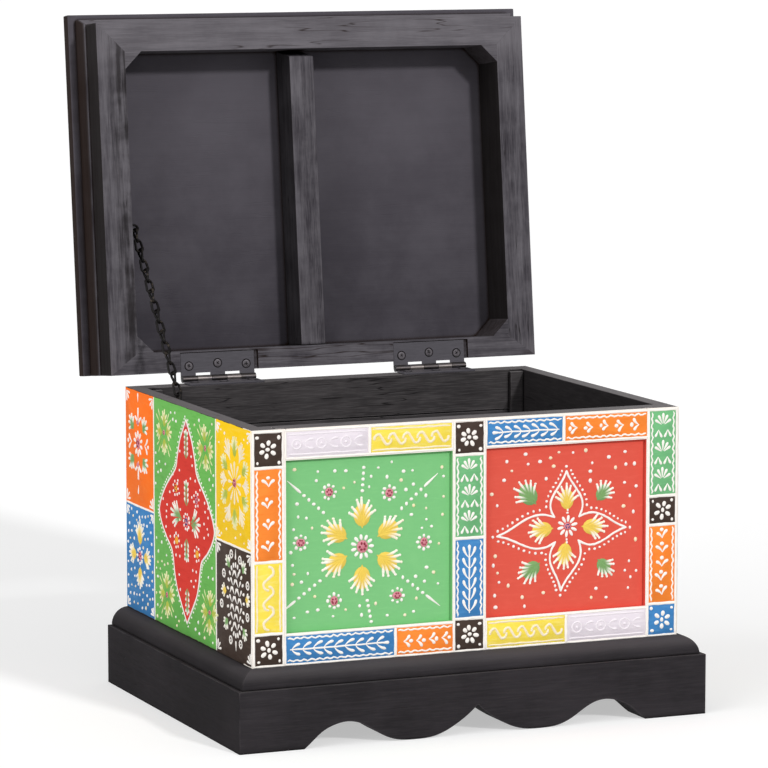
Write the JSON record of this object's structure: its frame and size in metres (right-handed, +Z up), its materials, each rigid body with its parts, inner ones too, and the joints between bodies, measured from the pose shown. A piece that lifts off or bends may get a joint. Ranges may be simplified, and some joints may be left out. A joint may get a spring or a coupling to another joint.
{
  "type": "storage box",
  "caption": "Painted wooden storage box with framed front panels, a beaded plinth with a scalloped apron, and a moulded lid on butt hinges held open by a chain.",
  "frame": {"origin": "on the floor, in the middle of the width and of the depth over all, with the lid open", "axes": "+X to the right seen from the front, +Y to the back, +Z up"},
  "size_m": [0.397, 0.3852, 0.535],
  "materials": {
    "painted_wood": "hand-painted tiles, satin",
    "black_wood": "black paint, satin, worn",
    "bare_wood": "sawn",
    "hinge_steel": "plated",
    "blackened_steel": "black"
  },
  "bodies": {
    "box": {"front_left_stile": "painted_wood", "front_right_stile": "painted_wood", "front_centre_stile": "painted_wood", "front_top_rail": "painted_wood", "front_bottom_rail": "painted_wood", "front_left_panel": "painted_wood", "front_right_panel": "painted_wood", "left_side_board": "painted_wood", "right_side_board": "painted_wood", "back_upper_board": "black_wood", "back_lower_board": "black_wood", "back_corner_posts": "black_wood", "plinth_front_apron": "black_wood", "plinth_left_board": "black_wood", "plinth_right_board": "black_wood", "plinth_back_board": "black_wood", "bead_front": "black_wood", "bead_left": "black_wood", "bead_right": "black_wood", "bottom_board": "black_wood", "plinth_glue_blocks": "bare_wood", "hinge_left_box_leaf": "hinge_steel", "hinge_right_box_leaf": "hinge_steel", "hinge_pins": "hinge_steel", "box_hinge_screws": "hinge_steel", "box_screw_eye": "blackened_steel"},
    "lid": {"lid_top_board": "black_wood", "lid_front_rail": "black_wood", "lid_rear_rail": "black_wood", "lid_left_stile": "black_wood", "lid_right_stile": "black_wood", "lid_front_moulding": "black_wood", "lid_left_moulding": "black_wood", "lid_right_moulding": "black_wood", "lid_batten": "black_wood", "lid_corner_blocks": "black_wood", "hinge_left_lid_leaf": "hinge_steel", "hinge_right_lid_leaf": "hinge_steel", "lid_hinge_screws": "hinge_steel", "lid_screw_eye": "blackened_steel"},
    "stay_chain_run_1": {"stay_chain_run_1": "blackened_steel"},
    "stay_chain_run_2": {"stay_chain_run_2": "blackened_steel"},
    "stay_chain_run_3": {"stay_chain_run_3": "blackened_steel"}
  },
  "joints": [
    {"name": "lid_hinge", "type": "hinge", "parent": "box", "child": "lid", "pos_m": [0, 0.10904, 0.2428], "axis": [1, 0, 0], "range_deg": [0, 97]},
    {"name": "stay_chain_turn_1", "type": "hinge", "parent": "box", "child": "stay_chain_run_1", "pos_m": [-0.1535, 0.02627, 0.21956], "axis": [1, 0, 0], "range_deg": [-110.69, 0], "deforming": ["stay_chain_run_1"]},
    {"name": "stay_chain_turn_2", "type": "hinge", "parent": "stay_chain_run_1", "child": "stay_chain_run_2", "pos_m": [-0.1535, 0.04611, 0.23886], "axis": [1, 0, 0], "range_deg": [0, 281.41], "deforming": ["stay_chain_run_2"]},
    {"name": "stay_chain_turn_3", "type": "hinge", "parent": "stay_chain_run_2", "child": "stay_chain_run_3", "pos_m": [-0.1535, 0.07914, 0.2785], "axis": [1, 0, 0], "range_deg": [-125.34, 0], "deforming": ["stay_chain_run_3"]}
  ],
  "couplings": [
    {"joint": "stay_chain_turn_1", "follows": "lid_hinge", "ratio": -1.136},
    {"joint": "stay_chain_turn_2", "follows": "lid_hinge", "ratio": 2.896},
    {"joint": "stay_chain_turn_3", "follows": "lid_hinge", "ratio": -1.287}
  ]
}
